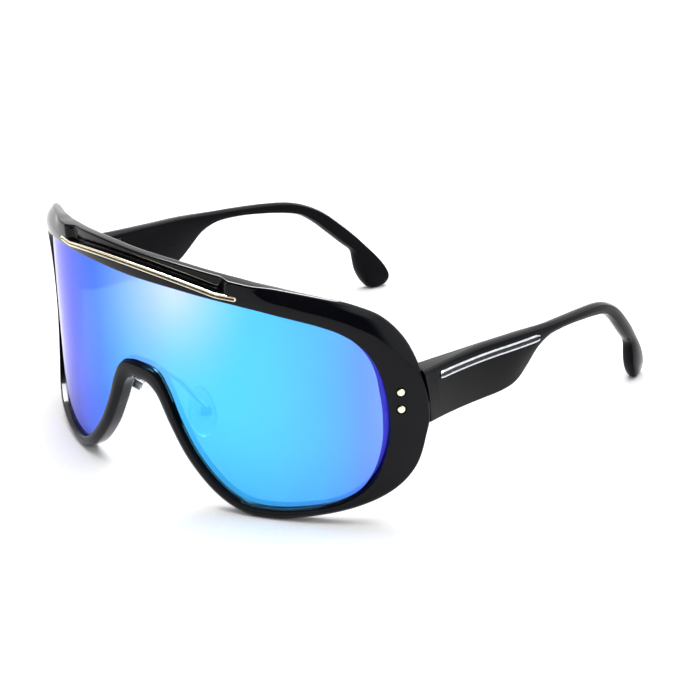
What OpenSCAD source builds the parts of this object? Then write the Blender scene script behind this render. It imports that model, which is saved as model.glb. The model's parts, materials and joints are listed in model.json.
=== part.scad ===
// Shield sunglasses: a one-piece moulded front with a single wrapped mirror lens,
// two folding temples on five-barrel hinges and silicone nose pads on wire arms.
// Open glasses stand on z = 0 with the front facing -Y and the temples running to +Y.
// The wearer's left is +X. Places on the front are given as [u, v, d]: u along the
// curve of the lens face, v up it, and d outward from it.

/* [Front] */
// Radius of the lens face, seen from above
front_r = 82.7; // [74:0.1:100]
// Lean of the front, top forward, in degrees
front_tilt = 3; // [0:0.5:6]
// Width of the lugs, from the lens to the side of the front
side_w = 10.3; // [9:0.1:13]
// Height of the rim above the lens, in the middle of the brow
brow_w = 6.5; // [5.8:0.1:9]
// Height of the rim under the lens, at its foot
foot_w = 2.9; // [2.4:0.1:4]
// Height of the rim's front face above the lens face
rim_proud = 1.3; // [0.8:0.1:2]
// Depth of the rim behind the lens face
rim_back = 3.4; // [3:0.1:5]
// Radius of the rim's outer edges
rim_soft = 1; // [0.4:0.1:1.2]
// Draw-in of the rim's back edge at the upper corners
corner_draft = 1.6; // [0:0.1:2]
// Radius of the edge between the rim's face and the lens recess
lip_soft = 0.4; // [0.2:0.1:0.6]
// Rise of the rim's face along its middle
rim_crown = 0.2; // [0:0.05:0.5]
// Fall of the rim's face towards its outer edge, where it is domed
dome_drop = 2.2; // [0:0.1:2.4]
// Width of the ledge that the lens rests on
ledge_w = 1.2; // [0.8:0.1:2]

/* [Lens] */
// Half width of the lens, along the curve
lens_half_w = 70; // [66:0.1:72]
// Height of the lens
lens_h = 59.2; // [56:0.1:60]
// Thickness of the lens
lens_t = 2; // [1.4:0.1:2.2]
// Width of the bevel round the lens
bevel_w = 0.6; // [0.3:0.1:1.6]
// Drop of the bevel at the edge of the lens
bevel_drop = 0.3; // [0.1:0.05:0.8]

/* [Brow] */
// Half length of the open rebate along the top of the brow
rebate_half = 27.5; // [20:0.5:34]
// Depth of the rebate's wall behind the lens face
rebate_back = 1.5; // [0.5:0.1:2]
// Height of the brow trim
trim_h = 1.4; // [1:0.1:2]
// Depth of the brow trim, front to back
trim_t = 1.5; // [1:0.1:2]
// Height of the trim above the rim's face
trim_proud = 0.45; // [0.2:0.05:0.8]
// Half length of the brow trim, along the curve
trim_half = 32.6; // [26:0.1:40]
// Half length of its arched middle
trim_arch = 26.8; // [20:0.1:30]
// Height of the arch's middle above its ends
trim_sag = 3.2; // [1:0.1:4]
// Height of the trim's middle above the lens
trim_rise = 3.7; // [3:0.1:5]
// Depth of the groove along the trim's face
trim_groove = 0.36; // [0:0.02:0.5]

/* [Temples] */
// Distance from the hinge to the tip, front to back
temple_reach = 109; // [95:0.5:120]
// Height of the temple's top edge at the hinge
temple_top = 42.6; // [41:0.1:45]
// Thickness of the temple
temple_t = 3.7; // [3.2:0.1:4.4]
// Extra thickness of the root where it meets the front
root_flare = 2.6; // [1:0.1:3]
// Distance that the tip curls in towards the head
tip_curl = 14; // [6:0.5:18]
// Radius of the temple's long edges
temple_soft = 0.8; // [0.4:0.1:1.4]
// Gap between the temple's end and the front
joint_gap = 0.35; // [0.3:0.05:0.6]

/* [Temple inlay] */
// Length of the inlay
inlay_len = 43.5; // [30:0.5:46]
// Height of the inlay
inlay_h = 2.3; // [1.2:0.1:2.6]
// Depth of the inlay's seat
inlay_seat = 0.9; // [0.5:0.1:1.2]
// Height of the inlay above the temple's face
inlay_proud = 0.3; // [0.1:0.05:0.5]
// Depth of the channel along the inlay's face
inlay_groove = 0.4; // [0:0.05:0.6]
// Distance of the inlay's middle below the temple's top edge
inlay_drop = 2.8; // [2.2:0.1:4]
// Distance from the hinge to the inlay
inlay_start = 0.6; // [0.4:0.1:8]

/* [Hinges] */
// Radius of the hinge barrels
barrel_r = 1.5; // [1.3:0.05:1.7]
// Height of the row of barrels
hinge_h = 9.6; // [8:0.1:11]
// Number of barrels in a row, front and temple together
barrel_n = 5; // [3:2:5]
// Gap between neighbouring barrels
barrel_gap = 0.15; // [0.1:0.01:0.2]
// Thickness of the hinge leaves
leaf_t = 1; // [0.8:0.05:1.2]
// Length of the temple's hinge leaf
leaf_len = 12; // [10:0.5:16]
// Length of the front's hinge leaf, along the lug
lug_leaf_len = 7.6; // [6.5:0.1:8.5]
// Radius of the hinge screw's shank
pin_r = 0.65; // [0.5:0.05:0.8]
// Running clearance round the screw
pin_gap = 0.04; // [0.02:0.01:0.08]
// Radius of the hinge screw's head
pin_head_r = 1.2; // [1:0.05:1.4]
// Height of the hinge screw's head
pin_head_h = 0.8; // [0.5:0.1:1]
// Radius of the lug rivets' heads
rivet_head_r = 0.95; // [0.8:0.05:1.3]
// Radius of the lug rivets' shanks
rivet_r = 0.6; // [0.4:0.05:0.7]
// Distance between the two rivets of a lug
rivet_pitch = 4.8; // [4:0.1:6]

/* [Nose pads] */
// Length of a nose pad
pad_len = 13.6; // [11:0.1:16]
// Width of a nose pad
pad_w = 7.4; // [6:0.1:9]
// Thickness of a nose pad
pad_t = 2.6; // [2.2:0.1:3.4]
// Distance from the middle plane to a pad's pivot
pad_x = 12.7; // [11:0.1:14]
// Distance of the pivot behind the middle of the lens's foot
pad_y = 9.6; // [8.5:0.1:12]
// Height of the pivot
pad_z = 23; // [20:0.1:25]
// Lean of the pads, top edges in, in degrees
pad_lean = 24; // [15:1:32]
// Turn of the pads, back edges out, in degrees
pad_splay = 28; // [15:1:40]
// Distance from the pad to its pivot
pad_out = 1.7; // [1.5:0.1:2.2]
// Radius of the pad arm's wire
wire_r = 0.55; // [0.4:0.05:0.65]
// Width of the pad box
box_w = 2.6; // [2.4:0.1:3]
// Height of the pad box
box_h = 2.4; // [2.2:0.1:3]
// Thickness of the pad box's walls
box_wall = 0.6; // [0.5:0.05:0.7]
// Radius of the pad screw's shank
pad_pin_r = 0.45; // [0.35:0.05:0.55]

/* [Hidden] */
$fn = 32;
// Length that a cut runs past what it cuts
over = 3;
// Clearance between pieces that seat in each other
seat_gap = 0.05;

black = "#101012";
mirror_blue = "#3aa0ff";
gold = "#d8b46a";
silver = "#c9ccd2";
clear = [0.9, 0.93, 0.96, 0.6];

// Half outline of the lens from the brow round to the notch: shares of its size
lens_shares = [[0, 1], [0.2, 0.997], [0.4, 0.977], [0.49, 0.963], [0.578, 0.945],
  [0.743, 0.9], [0.843, 0.852], [0.914, 0.782], [0.963, 0.684], [0.99, 0.566], [1, 0.453],
  [0.993, 0.33], [0.957, 0.2], [0.897, 0.107], [0.8, 0.044], [0.657, 0.01],
  [0.533, 0], [0.436, 0.017], [0.346, 0.081], [0.251, 0.204], [0.184, 0.34],
  [0.134, 0.475], [0.084, 0.556], [0, 0.573]];
// Half outline of the front, each point beside a point of the lens: [place along,
// height, draw-in of the back edge, doming of the face], shares of its size, of the
// corner's draft and of the dome's drop
front_shares = [[0, 1, 0.2, 0], [0.181, 0.996, 0.2, 0], [0.367, 0.974, 0.2, 0],
  [0.452, 0.961, 0.3, 0.06], [0.536, 0.947, 0.4, 0.5], [0.69, 0.91, 0.5, 0.8],
  [0.781, 0.876, 0.8, 0.95], [0.866, 0.823, 0.9, 1], [0.94, 0.718, 0.8, 1],
  [0.984, 0.58, 0.4, 0.6], [1, 0.435, 0, 0.15], [0.99, 0.353, 0, 0.15],
  [0.955, 0.223, 0, 0.2], [0.879, 0.128, 0, 0.2], [0.757, 0.061, 0, 0.2],
  [0.597, 0.017, 0, 0.15], [0.473, 0, 0, 0.15], [0.377, 0.013, 0, 0.15],
  [0.28, 0.077, 0, 0.15], [0.186, 0.194, 0, 0.15], [0.122, 0.32, 0, 0.15],
  [0.078, 0.424, 0, 0.15], [0.04, 0.465, 0, 0.15], [0, 0.472, 0, 0.15]];
// Curve points from one outline point to the next
fine = 3;
// Columns across half of the lens
lens_cols = 40;

// Top and foot edges of the temple from the lug to the tip: [y of top, z of top,
// y of foot, z of foot, thickness], shares of its reach, its height and its thickness
temple_shares = [[-0.06, 1.011, -0.06, 0.662, 1], [0.013, 0.995, 0.013, 0.647, 1],
  [0.115, 0.973, 0.115, 0.624, 1], [0.198, 0.955, 0.198, 0.605, 1],
  [0.262, 0.939, 0.263, 0.597, 1], [0.32, 0.925, 0.317, 0.616, 1],
  [0.366, 0.912, 0.362, 0.69, 1], [0.408, 0.899, 0.405, 0.768, 1],
  [0.463, 0.882, 0.462, 0.806, 1], [0.543, 0.858, 0.538, 0.8, 1],
  [0.625, 0.834, 0.617, 0.768, 1], [0.704, 0.801, 0.69, 0.729, 1],
  [0.764, 0.75, 0.744, 0.686, 1.03], [0.82, 0.668, 0.792, 0.604, 1.06],
  [0.872, 0.554, 0.838, 0.498, 1.1], [0.917, 0.444, 0.88, 0.397, 1.12],
  [0.954, 0.341, 0.914, 0.316, 1.1], [0.984, 0.25, 0.924, 0.238, 1.14],
  [1.008, 0.163, 0.932, 0.153, 1.16], [1.021, 0.085, 0.947, 0.07, 1.12],
  [1.015, 0.03, 0.963, 0.014, 0.92], [1.002, 0.007, 0.978, 0, 0.6]];
temple_fine = 3;

front_half_w = lens_half_w + side_w;
front_h = foot_w + lens_h + brow_w;

// Foot of the front, where it touches the table: share of its half width
foot_share = 0.473;
foot_drop = wrapped([foot_share * front_half_w, 0, rim_proud - rim_soft]).z;

// Middle of the lug: share of the front's height
lug_share = 0.5;
hinge_behind = 2.2;
// Distance of the trim's face over the lens face
trim_face = rim_proud + rim_crown + trim_proud;
// Middle of the glasses, front to back, behind the middle of the lens's foot
tip_share = 1.023;
centre_y = (wrapped([0, trim_v(0) + trim_h * 0.3, trim_face]).y + hinge_behind
  + wrapped([front_half_w, lug_share * front_h, -rim_back]).y + tip_share * temple_reach) / 2;
lug_edge = on_front([front_half_w, lug_share * front_h, -rim_back]);

// Rivets go through the lug, square to it, at this share of the front's half width
rivet_share = 0.908;
rivet_deg = arc_deg(rivet_share * front_half_w);
rivet_foot = on_front([rivet_share * front_half_w, lug_share * front_h, -rim_back]);
// Distance from the lug's back to its face at the rivets
lug_t = rim_back + rim_proud + rim_crown * 0.5;
rivet_sink = 0.35;
rivet_head_h = 0.5;
rivet_rim = 0.12;
tail_r = rivet_r * 1.7;
tail_h = 0.45;

// Hinge axis of the left temple, inside the corner of lug and temple
temple_share = 0.797;
hinge_in = 0.35;
hinge_x = temple_share * front_half_w - temple_t / 2 - hinge_in;
hinge_y = lug_edge.y + hinge_behind;
hinge_z = rivet_foot.z;
barrel_h = (hinge_h - (barrel_n - 1) * barrel_gap) / barrel_n;
// Clearance of the barrels from the other leaf and the temple
knuckle_gap = 0.35;
// Depth of the lug's leaf in its seat
leaf_sink = 0.5;
// Distance from the hinge axis to the temple's leaf
leaf_x = 0.4;
screw_r = 0.5;
screw_head_h = 0.4;
// Length of the leaf screws in the temple
screw_grip = 1.5;
slot_w = 0.3;

// Clearance of the pad's tab in its box
tab_gap = 0.12;
tab_t = box_w - 2 * box_wall - 2 * tab_gap;
tab_r = 0.9;
box_front = 0.95;
box_deep = 1.25;
// Core plate inside the pad
core_t = 0.6;
core_w = 3.2;
core_len = 5.4;
core_in = 0.9;
pad_head_r = 0.8;
pad_head_h = 0.4;
// Place of the pad arm's socket: along the front, and up it as a share of its height
arm_u = 4.2;
arm_share = 0.49;
arm_deep = 2.2;
// Path of the arm from its socket to the pad box: shares of the way in x, y and z
arm_shares = [[0, 0.08, 0], [0, 0.38, 0.02], [0.26, 0.74, 0.3], [0.66, 0.96, 0.7]];
// Sections of a pad through its thickness: [depth, draw in of its edge], shares of its thickness
pad_shares = [[0, 0.3], [0.1, 0.08], [0.35, 0], [0.7, 0.12], [0.92, 0.42], [1, 0.75]];
pad_taper = 0.16;
pad_sides = 24;

// Shared functions and modules

// Angle of an arc of the lens face
function arc_deg(u) = u / front_r * 180 / PI;

// Place of [u, v, d] on the front, seen from the middle of the lens's foot
function wrapped(p) = let (
    a = arc_deg(p[0]), r = front_r + p[2], y = front_r - r * cos(a))
  [r * sin(a), y * cos(front_tilt) - p[1] * sin(front_tilt),
   p[1] * cos(front_tilt) + y * sin(front_tilt)];

// The same place with the glasses centred over the table's origin
function on_front(p) = wrapped(p) - [0, centre_y, foot_drop];

// Point of a smooth curve from b to c, with neighbours a and d
function curve_at(a, b, c, d, t) =
  (2 * b + (c - a) * t + (2 * a - 5 * b + 4 * c - d) * t * t
    + (3 * b - a - 3 * c + d) * t * t * t) / 2;

// Smooth open curve through a list of points
function curve(p, k) = let (n = len(p) - 1) [
  for (i = [0 : n - 1], j = [0 : k - 1])
    curve_at(p[max(i - 1, 0)], p[i], p[i + 1], p[min(i + 2, n)], j / k),
  p[n]];

// Smooth loop through a half outline and its mirror image
function loop_of(half, k) = let (
    n = len(half) - 1,
    all = concat(half, [for (i = [n - 1 : -1 : 1]) [-half[i].x, half[i].y, half[i].z, half[i][3]]]),
    m = len(all))
  [for (i = [0 : m - 1], j = [0 : k - 1])
    curve_at(all[(i + m - 1) % m], all[i], all[(i + 1) % m], all[(i + 2) % m], j / k)];

// Solid skinned over rows of points; in a loop the last row joins the first
module skin(rows, loop = false) {
  n = len(rows[0]);
  m = len(rows);
  last = loop ? m - 1 : m - 2;
  sides = [for (i = [0 : last], j = [0 : n - 1]) let (
      a = i * n + j, b = i * n + (j + 1) % n,
      c = ((i + 1) % m) * n + (j + 1) % n, d = ((i + 1) % m) * n + j)
    each [[a, b, c], [a, c, d]]];
  ends = loop ? [] : [[for (j = [n - 1 : -1 : 0]) j], [for (j = [0 : n - 1]) (m - 1) * n + j]];
  polyhedron([for (r = rows) each r], concat(sides, ends), convexity = 8);
}

module right_side() {
  mirror([1, 0, 0]) children();
}

// Front

lens_edge = loop_of([for (s = lens_shares) [s[0] * lens_half_w, foot_w + s[1] * lens_h, 0, 0]], fine);
front_edge = loop_of([for (s = front_shares)
  [s[0] * front_half_w, s[1] * front_h, s[2] * corner_draft, s[3] * dome_drop]], fine);

// Cross-section of the rim: [distance out from the lens, height over the lens face].
// Its back edge is drawn in by draft, and its face falls by drop to its outer edge.
function rim_section(w, draft, drop) = let (
    s = min(rim_soft, w / 2.4), c = 0.29 * s, e = w - draft, f = w * 0.32,
    low = min(drop, rim_proud + rim_back - 2 * s - lip_soft),
    seat = -lens_t - seat_gap)
  [[-ledge_w, -rim_back], [-ledge_w, seat], [0, seat],
   [0, rim_proud - lip_soft], [lip_soft, rim_proud], [f, rim_proud + rim_crown],
   for (i = [0 : 2]) [f + (w - s - f) * [0.4, 0.75, 1][i],
     rim_proud + rim_crown * [0.8, 0.5, 0][i] - low * [0.16, 0.56, 1][i]],
   [w - c, rim_proud - low - c], [w, rim_proud - low - s],
   [e, -rim_back + s], [e - c, -rim_back + c], [e - s, -rim_back]];

// Step from a point of the lens's outline to its partner on the front's
function border(i) = let (a = lens_edge[i], b = front_edge[i]) [b.x - a.x, b.y - a.y];

function rim_row(i) = let (a = lens_edge[i], w = norm(border(i)), out = border(i) / w)
  [for (q = rim_section(w, front_edge[i].z, front_edge[i][3]))
    on_front([a.x + out.x * q[0], a.y + out.y * q[0], q[1]])];

module front_frame() {
  color(black) difference() {
    skin([for (i = [0 : len(lens_edge) - 1]) rim_row(i)], loop = true);
    brow_rebate();
    skin(trim_rows(seat_gap));
    for (side = [0, 1]) mirror([side, 0, 0]) {
      leaf_seat();
      rivet_holes();
      arm_socket();
    }
  }
}

// Open rebate along the top of the brow, down to the top of the trim
module brow_rebate() {
  steps = 20;
  skin([for (i = [0 : steps]) let (
      u = rebate_half * (2 * i / steps - 1), v = trim_v(u) + trim_h / 2)
    [for (q = [[v, -rebate_back], [v, over], [front_h + over, over],
        [front_h + over, -rebate_back]])
      on_front([u, q[0], q[1]])]]);
}

// Lens

// Outline of the lens drawn in by some distance
function lens_in(gap) = [for (i = [0 : len(lens_edge) - 1])
  [lens_edge[i].x, lens_edge[i].y] - border(i) / norm(border(i)) * gap];

module shield_lens() {
  outer = lens_in(seat_gap);
  inner = lens_in(seat_gap + bevel_w);
  tip = 10 * fine;
  foot = 23 * fine;
  top_out = [for (i = [0 : tip]) outer[i]];
  top_in = [for (i = [0 : tip]) inner[i]];
  low_out = [for (i = [foot : -1 : tip]) outer[i]];
  low_in = [for (i = [foot : -1 : tip]) inner[i]];
  end_deg = 88;
  color(mirror_blue) skin([for (i = [-lens_cols : lens_cols]) let (
      s = sin(end_deg * i / lens_cols), side = s < 0 ? -1 : 1,
      u = abs(s) * outer[tip][0], w = abs(s) * inner[tip][0])
    [for (q = [
        [u, lookup(u, low_out), -bevel_drop], [w, lookup(w, low_in), 0],
        [w, lookup(w, top_in), 0], [u, lookup(u, top_out), -bevel_drop],
        [u, lookup(u, top_out), -lens_t], [u, lookup(u, low_out), -lens_t]])
      on_front([side * q[0], q[1], q[2]])]]);
}

// Brow trim

// Height of the trim's middle: an arch, then a flatter tail
function trim_v(u) = let (
    a = min(abs(u) / trim_arch, 1), tail = max(abs(u) - trim_arch, 0), fall = 0.06)
  foot_w + lens_h + trim_rise - trim_sag * a * a - tail * fall;

// Rows of the trim, or of its seat when grown by a gap
function trim_rows(gap = 0) = let (
    steps = 30, back = trim_face - trim_t - gap, front = gap > 0 ? trim_face + over : trim_face,
    dip = gap > 0 ? 0 : trim_groove)
  [for (i = [-steps : steps]) let (
      s = sin(90 * i / steps), u = (trim_half + gap) * s, h2 = trim_h / 2 + gap,
      rest = (trim_half + gap) * (1 - abs(s)),
      h = h2 * sqrt(1 - pow(max(1 - rest / h2, 0) * 0.8, 2)), v = trim_v(u))
    [for (q = [[-h, back], [-h, front - trim_h / 4], [-h * 0.6, front],
        [-h * 0.2, front - dip], [h * 0.2, front - dip], [h * 0.6, front],
        [h, front - trim_h / 4], [h, back]])
      on_front([u, v + q[0], q[1]])]];

module brow_trim() {
  color(gold) skin(trim_rows());
}

// Temples

// Middle plane of the temple at a distance y behind the hinge
function temple_x(y) = let (
    bend = 0.27 * temple_reach, s = max(y - bend, 0) / (temple_reach - bend))
  temple_share * front_half_w - tip_curl * s * s;

// Extra thickness of the outer face towards the lug
function flare(y) = let (
    run = 0.28 * temple_reach, s = max(1 - (y + hinge_behind) / run, 0))
  root_flare * s * s;

// Cross-section of the temple, sides out to t and edges out to h
function temple_section(t, h, s) = let (c = 0.29 * s)
  [[t - s, -h], [t - c, -h + c], [t, -h + s], [t, h - s], [t - c, h - c], [t - s, h],
   [-t + s, h], [-t + c, h - c], [-t, h - s], [-t, -h + s], [-t + c, -h + c], [-t + s, -h]];

function temple_rows() = let (
    root = (temple_shares[0][1] - temple_shares[0][3]) * temple_top / 2)
  [for (r = curve(temple_shares, temple_fine)) let (
      a = [r[0] * temple_reach, r[1] * temple_top], b = [r[2] * temple_reach, r[3] * temple_top],
      mid = (a + b) / 2, half = norm(a - b) / 2, up = (a - b) / (2 * half),
      t = r[4] * temple_t / 2, slim = max(1 - half / root, 0),
      s = min(temple_soft + (t - temple_soft) * slim * slim, half * 0.9, t * 0.85))
    [for (q = temple_section(t, half, s)) let (
        p = mid + up * q[1], out = q[0] > 0 ? flare(p[0]) : 0)
      [temple_x(p[0]) + q[0] + out, hinge_y + p[0], p[1]]]];

// Space of the lug, grown by the joint's gap, which shapes the temple's front end
module lug_space() {
  steps = 12;
  low = 0.5 * temple_top;
  top = 1.1 * temple_top;
  edge = [for (i = [7 * fine : 14 * fine]) [-front_edge[i][1], front_edge[i][0]]];
  skin([for (i = [0 : steps]) let (
      v = low + (top - low) * i / steps, u = lookup(-v, edge) + joint_gap)
    [for (q = [[u, -rim_back - 2 * over], [u, rim_proud + 2 * over],
        [u - 4 * over, rim_proud + 2 * over], [u - 4 * over, -rim_back - 2 * over]])
      on_front([q[0], v, q[1]])]]);
}

module temple() {
  difference() {
    skin(temple_rows());
    lug_space();
    hinge_pocket();
    skin(inlay_rows(seat_gap));
    leaf_screw_places() cylinder(r = screw_r + seat_gap, h = leaf_t + screw_grip + seat_gap);
  }
}

// Pocket for the barrels and the leaf in the temple's inner face
module hinge_pocket() {
  high = hinge_h / 2 + pin_head_h + knuckle_gap;
  deep = over + leaf_x + leaf_t;
  translate([hinge_x, hinge_y, hinge_z - high]) cylinder(r = barrel_r + knuckle_gap, h = 2 * high);
  translate([hinge_x - over, hinge_y - seat_gap, hinge_z - hinge_h / 2 - seat_gap])
    cube([deep, leaf_len + 2 * seat_gap, hinge_h + 2 * seat_gap]);
}

module temple_left() {
  color(black) temple();
}

module temple_right() {
  color(black) right_side() temple();
}

// Temple inlays

// Rows of the inlay along the temple's outer face, or of its seat when grown by a gap
function inlay_rows(gap = 0) = let (
    steps = 16, from = temple_shares[1], to = temple_shares[5],
    slope = (to[1] - from[1]) * temple_top / ((to[0] - from[0]) * temple_reach))
  [for (i = [0 : steps]) let (
      y = inlay_start - gap + (inlay_len + 2 * gap) * (1 - cos(180 * i / steps)) / 2,
      rest = min(y - inlay_start + gap, inlay_start + inlay_len + gap - y),
      h2 = inlay_h / 2 + gap, h = h2 * sqrt(1 - pow(max(1 - rest / h2, 0) * 0.85, 2)),
      z = temple_top - inlay_drop + slope * y,
      face = temple_x(y) + flare(y) + temple_t / 2,
      back = face - inlay_seat - gap, rise = gap > 0 ? over : inlay_proud,
      dip = gap > 0 ? 0 : inlay_groove)
    [for (q = [[back, h], [back, -h], [face, -h], [face + rise, -h * 0.85],
        [face + rise, -h * 0.5], [face + rise - dip, -h * 0.4], [face + rise - dip, h * 0.4],
        [face + rise, h * 0.5], [face + rise, h * 0.85], [face, h]])
      [q[0], hinge_y + y, z + q[1]]]];

module temple_inlay_left() {
  color(silver) skin(inlay_rows());
}

module temple_inlay_right() {
  color(silver) right_side() skin(inlay_rows());
}

// Hinges

// Lug's own frame: x along the lug, y back from its rear face, origin between the rivets
module at_lug() {
  translate(rivet_foot) rotate([0, 0, rivet_deg]) children();
}

// A place of the plan seen from the lug's frame
function lug_point(p) = let (q = p - [rivet_foot.x, rivet_foot.y])
  [q.x * cos(rivet_deg) + q.y * sin(rivet_deg), q.y * cos(rivet_deg) - q.x * sin(rivet_deg)];

// Height of barrel i, counted from the foot
function level(i) = hinge_z - hinge_h / 2 + i * (barrel_h + barrel_gap);

lug_leaf_share = 0.46;

// Leaf on the back of the lug, with barrels on short arms
module front_hinge() {
  from = [lug_leaf_len * (1 - lug_leaf_share) - leaf_t / 2, leaf_t / 2 - leaf_sink];
  axis = lug_point([hinge_x, hinge_y]);
  way = axis - from;
  difference() {
    union() {
      at_lug() {
        translate([-lug_leaf_len * lug_leaf_share, -leaf_sink, -hinge_h / 2])
          cube([lug_leaf_len, leaf_t, hinge_h]);
        for (i = [0 : 2 : barrel_n - 1]) translate([from.x, from.y, level(i) - hinge_z])
          rotate([0, 0, atan2(way.y, way.x)]) {
            translate([0, -leaf_t / 2, 0]) cube([norm(way), leaf_t, barrel_h]);
            translate([norm(way), 0, 0]) cylinder(r = barrel_r, h = barrel_h);
          }
      }
    }
    translate([hinge_x, hinge_y, hinge_z - hinge_h / 2 - over])
      cylinder(r = pin_r + pin_gap, h = hinge_h + 2 * over);
    rivet_places() translate([0, 0, -over]) cylinder(r = rivet_r + seat_gap, h = 2 * over);
  }
}

// Seat of the leaf in the back of the lug
module leaf_seat() {
  at_lug() translate([-lug_leaf_len * lug_leaf_share - seat_gap, -leaf_sink, -hinge_h / 2 - seat_gap])
    cube([2 * lug_leaf_len, over, hinge_h + 2 * seat_gap]);
}

module temple_hinge() {
  difference() {
    union() {
      for (i = [1 : 2 : barrel_n - 2]) {
        translate([hinge_x, hinge_y, level(i)]) cylinder(r = barrel_r, h = barrel_h);
        translate([hinge_x + leaf_x, hinge_y, level(i)])
          cube([leaf_t, barrel_r + 2 * knuckle_gap, barrel_h]);
      }
      translate([hinge_x + leaf_x, hinge_y + barrel_r + knuckle_gap, hinge_z - hinge_h / 2])
        cube([leaf_t, leaf_len - barrel_r - knuckle_gap, hinge_h]);
    }
    translate([hinge_x, hinge_y, hinge_z - hinge_h / 2 - over])
      cylinder(r = pin_r + pin_gap, h = hinge_h + 2 * over);
    leaf_screw_places() translate([0, 0, -over]) cylinder(r = screw_r + seat_gap, h = 2 * over);
  }
}

module front_hinge_left() {
  color(silver) front_hinge();
}

module front_hinge_right() {
  color(silver) right_side() front_hinge();
}

module temple_hinge_left() {
  color(silver) temple_hinge();
}

module temple_hinge_right() {
  color(silver) right_side() temple_hinge();
}

// Screw down through the barrels, with a slotted head
module hinge_screw() {
  difference() {
    translate([hinge_x, hinge_y, hinge_z - hinge_h / 2]) {
      cylinder(r = pin_r, h = hinge_h + pin_head_h / 2);
      translate([0, 0, hinge_h]) cylinder(r = pin_head_r, h = pin_head_h);
    }
    translate([hinge_x - over, hinge_y - slot_w / 2, hinge_z + hinge_h / 2 + pin_head_h * 0.6])
      cube([2 * over, slot_w, over]);
  }
}

module hinge_screw_left() {
  color(silver) hinge_screw();
}

module hinge_screw_right() {
  color(silver) right_side() hinge_screw();
}

// Rivets

// Rivet places, with z out through the front of the lug
module rivet_places() {
  for (s = [-0.5, 0.5]) at_lug() translate([0, 0, s * rivet_pitch]) rotate([90, 0, 0]) children();
}

module rivet_holes() {
  rivet_places() {
    translate([0, 0, -over]) cylinder(r = rivet_r + seat_gap, h = 3 * over);
    translate([0, 0, lug_t - rivet_sink]) cylinder(r = rivet_head_r + rivet_rim, h = over);
  }
}

module lug_rivets() {
  tail = leaf_t - leaf_sink;
  seat = lug_t - rivet_sink;
  soft = 0.2;
  rivet_places() {
    translate([0, 0, -tail - tail_h]) cylinder(r = tail_r, h = tail_h);
    translate([0, 0, -tail - tail_h / 2])
      cylinder(r = rivet_r, h = tail + tail_h / 2 + seat + rivet_head_h / 2);
    translate([0, 0, seat]) cylinder(r = rivet_head_r, h = rivet_head_h - soft);
    translate([0, 0, seat + rivet_head_h - soft])
      cylinder(r1 = rivet_head_r, r2 = rivet_head_r - soft, h = soft);
  }
}

module lug_rivets_left() {
  color(gold) lug_rivets();
}

module lug_rivets_right() {
  color(gold) right_side() lug_rivets();
}

// Leaf screws

// Screw places, with z into the temple
module leaf_screw_places() {
  for (s = [0.42, 0.8]) translate([hinge_x + leaf_x, hinge_y + leaf_len * s, hinge_z])
    rotate([0, 90, 0]) children();
}

module leaf_screws() {
  leaf_screw_places() {
    translate([0, 0, -screw_head_h]) cylinder(r = 2 * screw_r, h = screw_head_h);
    translate([0, 0, -screw_head_h / 2])
      cylinder(r = screw_r, h = screw_head_h / 2 + leaf_t + screw_grip);
  }
}

module leaf_screws_left() {
  color(silver) leaf_screws();
}

module leaf_screws_right() {
  color(silver) right_side() leaf_screws();
}

// Nose pads

// Pad's own frame: pivot at the origin, pad towards -x, screw along y, pad's length along z
module at_pad() {
  translate([pad_x, pad_y - centre_y, pad_z]) rotate([0, -pad_lean, -pad_splay]) children();
}

// Place of a point of the pad's frame
function pad_point(p) = let (
    x = p.x * cos(pad_lean) - p.z * sin(pad_lean), z = p.x * sin(pad_lean) + p.z * cos(pad_lean))
  [pad_x + x * cos(pad_splay) + p.y * sin(pad_splay),
   pad_y - centre_y - x * sin(pad_splay) + p.y * cos(pad_splay), pad_z + z];

arm_foot = on_front([arm_u, arm_share * front_h, -rim_back]);

module arm_socket() {
  translate(arm_foot) rotate([90, 0, 0]) translate([0, 0, -over])
    cylinder(r = wire_r + seat_gap, h = over + arm_deep);
}

// Rows round the wire from its socket to the pad box
function wire_rows() = let (
    sides = 10, into = box_deep + box_wall, end = pad_point([into - wire_r / 2, 0, 0]),
    span = end - arm_foot,
    path = curve(concat([arm_foot - [0, arm_deep, 0]],
      [for (s = arm_shares) arm_foot + [s.x * span.x, s.y * span.y, s.z * span.z]],
      [pad_point([into + 1.4 * wire_r, 0, 1.6 * wire_r]), end]), 3),
    n = len(path) - 1)
  [for (i = [0 : n]) let (
      way = path[min(i + 1, n)] - path[max(i - 1, 0)], a = way / norm(way),
      c = cross(a, [0.3, 0.2, 1]), e = cross(c, a) / norm(c), f = cross(a, e))
    [for (j = [0 : sides - 1]) let (g = 360 * j / sides)
      path[i] + wire_r * (cos(g) * f + sin(g) * e)]];

module pad_arm() {
  skin(wire_rows());
  at_pad() difference() {
    translate([-box_front, -box_w / 2, -box_h / 2])
      cube([box_front + box_deep + box_wall, box_w, box_h]);
    translate([-box_front - over, -box_w / 2 + box_wall, -box_h / 2 - over])
      cube([box_front + over + box_deep, box_w - 2 * box_wall, box_h + 2 * over]);
    rotate([90, 0, 0]) cylinder(r = pad_pin_r + seat_gap, h = box_w + over, center = true);
  }
}

module pad_arm_left() {
  color(silver) pad_arm();
}

module pad_arm_right() {
  color(silver) right_side() pad_arm();
}

module pad_screw() {
  at_pad() rotate([90, 0, 0]) {
    cylinder(r = pad_pin_r, h = box_w, center = true);
    translate([0, 0, box_w / 2]) difference() {
      cylinder(r = pad_head_r, h = pad_head_h);
      translate([-over, -slot_w / 2, pad_head_h / 2]) cube([2 * over, slot_w, over]);
    }
  }
}

module pad_screw_left() {
  color(silver) pad_screw();
}

module pad_screw_right() {
  color(silver) right_side() pad_screw();
}

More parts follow.
